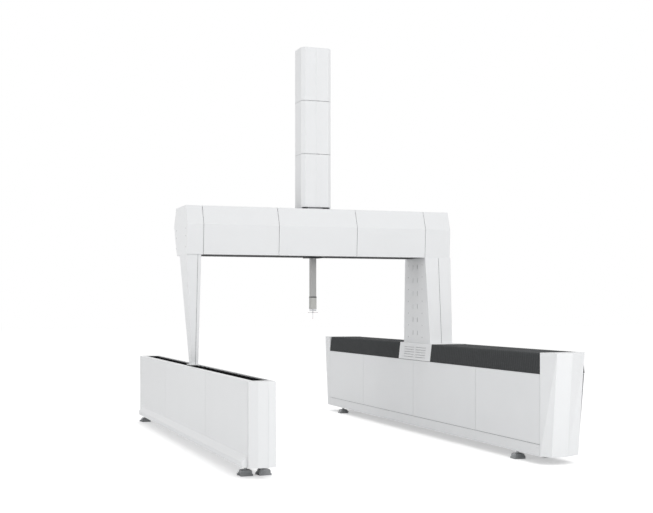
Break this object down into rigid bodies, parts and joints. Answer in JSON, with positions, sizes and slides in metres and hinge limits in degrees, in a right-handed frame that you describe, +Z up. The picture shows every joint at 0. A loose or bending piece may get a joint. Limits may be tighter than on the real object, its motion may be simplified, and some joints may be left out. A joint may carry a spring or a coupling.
{
  "type": "gantry coordinate measuring machine",
  "caption": "Bridge gantry measuring machine on two raised runways, with a tall vertical column, a square ram and a sprung probe head carrying a star stylus.",
  "frame": {"origin": "middle of the machine's footprint on the floor", "axes": "+X along the crossbeam from the thin leg to the driven column, +Y along the runways, +Z up"},
  "size_m": [4.958, 9.384, 6.578],
  "materials": {
    "cover_white": "satin powder coat",
    "frame_grey": "satin paint",
    "ground_rail": "ground",
    "bellows_cloth": "coated pleated cloth",
    "slot_band": "matt black",
    "bearing_pad": "anodised",
    "drive_steel": "ground",
    "scale_strip": "etched strip",
    "motor_dark": "satin paint",
    "mast_aluminium": "machined",
    "ram_metal": "hard anodised, satin",
    "dark_trim": "satin black",
    "belt_rubber": "toothed belt, matt",
    "probe_grey": "satin",
    "foot_metal": "dark grey",
    "zinc_steel": "zinc plated",
    "stylus_stem": "polished",
    "stylus_ball": "polished ruby red"
  },
  "bodies": {
    "base": {"left_runway_frame": "frame_grey", "left_guide_rail": "ground_rail", "left_cover_rails": "frame_grey", "left_side_panels": "cover_white", "left_plinth": "cover_white", "left_end_caps": "cover_white", "left_slot_band": "slot_band", "right_runway_frame": "frame_grey", "right_guideway": "ground_rail", "right_cover_rails": "frame_grey", "right_side_panels": "cover_white", "right_skirts": "cover_white", "right_end_caps": "cover_white", "bellows_near": "bellows_cloth", "bellows_far": "bellows_cloth", "y_drive_bar": "drive_steel", "y_scale": "scale_strip", "foot_plates": "foot_metal", "foot_studs_and_nuts": "zinc_steel"},
    "gantry": {"carriage_cover": "cover_white", "carriage_saddle": "ground_rail", "carriage_air_pads": "bearing_pad", "y_drive_motor": "motor_dark", "column_frame": "frame_grey", "column_covers": "cover_white", "leg_frame": "frame_grey", "leg_covers": "cover_white", "leg_saddle": "cover_white", "leg_air_pads": "bearing_pad", "bridge_frame": "frame_grey", "beam_ribs": "frame_grey", "beam_front_covers": "cover_white", "beam_rear_covers": "cover_white", "beam_end_caps": "cover_white", "x_bellows_left": "bellows_cloth", "x_bellows_right": "bellows_cloth", "x_drive_bar": "drive_steel", "x_scale": "scale_strip"},
    "y_drive_roller": {"y_drive_roller": "drive_steel"},
    "x_carriage": {"x_saddle": "mast_aluminium", "x_air_pads": "bearing_pad", "x_drive_motor": "motor_dark", "z_guide_housing": "mast_aluminium", "z_ram_bearings": "bearing_pad", "z_mast": "mast_aluminium", "z_covers": "cover_white", "exit_plate": "dark_trim", "z_belt": "belt_rubber", "z_motor": "motor_dark"},
    "x_drive_roller": {"x_drive_roller": "drive_steel"},
    "z_lower_pulley": {"z_lower_pulley": "drive_steel"},
    "z_upper_pulley": {"z_upper_pulley": "drive_steel"},
    "ram": {"ram": "ram_metal", "ram_end_ring": "dark_trim", "probe_head": "probe_grey"},
    "probe_y_stage": {"probe_y_stage": "bearing_pad"},
    "probe_x_stage": {"probe_x_stage": "bearing_pad"},
    "probe_z_stage": {"stylus_adapter": "bearing_pad", "stylus_stems": "stylus_stem", "stylus_balls": "stylus_ball"}
  },
  "joints": [
    {"name": "y_travel", "type": "slide", "parent": "base", "child": "gantry", "axis": [0, 1, 0], "range_m": [-2.95, 3.05], "deforming": ["bellows_near", "bellows_far"]},
    {"name": "y_drive_spin", "type": "hinge", "parent": "gantry", "child": "y_drive_roller", "pos_m": [2.3217, -0.0365, 1.32], "axis": [0, 0, 1], "range_deg": [-3600, 3600]},
    {"name": "x_travel", "type": "slide", "parent": "gantry", "child": "x_carriage", "axis": [1, 0, 0], "range_m": [-1.566, 1.434], "deforming": ["x_bellows_left", "x_bellows_right"]},
    {"name": "x_drive_spin", "type": "hinge", "parent": "x_carriage", "child": "x_drive_roller", "pos_m": [-0.118, -0.0497, 3.165], "axis": [0, 0, 1], "range_deg": [-2300, 2300]},
    {"name": "z_travel", "type": "slide", "parent": "x_carriage", "child": "ram", "axis": [0, 0, 1], "range_m": [-1.4, 0.6]},
    {"name": "z_lower_pulley_spin", "type": "hinge", "parent": "x_carriage", "child": "z_lower_pulley", "pos_m": [0.062, 0.164, 4.48], "axis": [1, 0, 0], "range_deg": [-800, 1800]},
    {"name": "z_upper_pulley_spin", "type": "hinge", "parent": "x_carriage", "child": "z_upper_pulley", "pos_m": [0.062, 0.164, 6.44], "axis": [1, 0, 0], "range_deg": [-800, 1800]},
    {"name": "probe_y_deflection", "type": "slide", "parent": "ram", "child": "probe_y_stage", "axis": [0, 1, 0], "range_m": [-0.002, 0.002], "stiffness_N_per_m": 6000},
    {"name": "probe_x_deflection", "type": "slide", "parent": "probe_y_stage", "child": "probe_x_stage", "axis": [1, 0, 0], "range_m": [-0.002, 0.002], "stiffness_N_per_m": 6000},
    {"name": "probe_z_deflection", "type": "slide", "parent": "probe_x_stage", "child": "probe_z_stage", "axis": [0, 0, 1], "range_m": [-0.002, 0.002], "stiffness_N_per_m": 8000, "springref_m": 0.001}
  ],
  "couplings": [
    {"joint": "y_drive_spin", "follows": "y_travel", "rad_per_m": -20},
    {"joint": "x_drive_spin", "follows": "x_travel", "rad_per_m": -25},
    {"joint": "z_lower_pulley_spin", "follows": "z_travel", "rad_per_m": -22.222},
    {"joint": "z_upper_pulley_spin", "follows": "z_travel", "rad_per_m": -22.222}
  ]
}
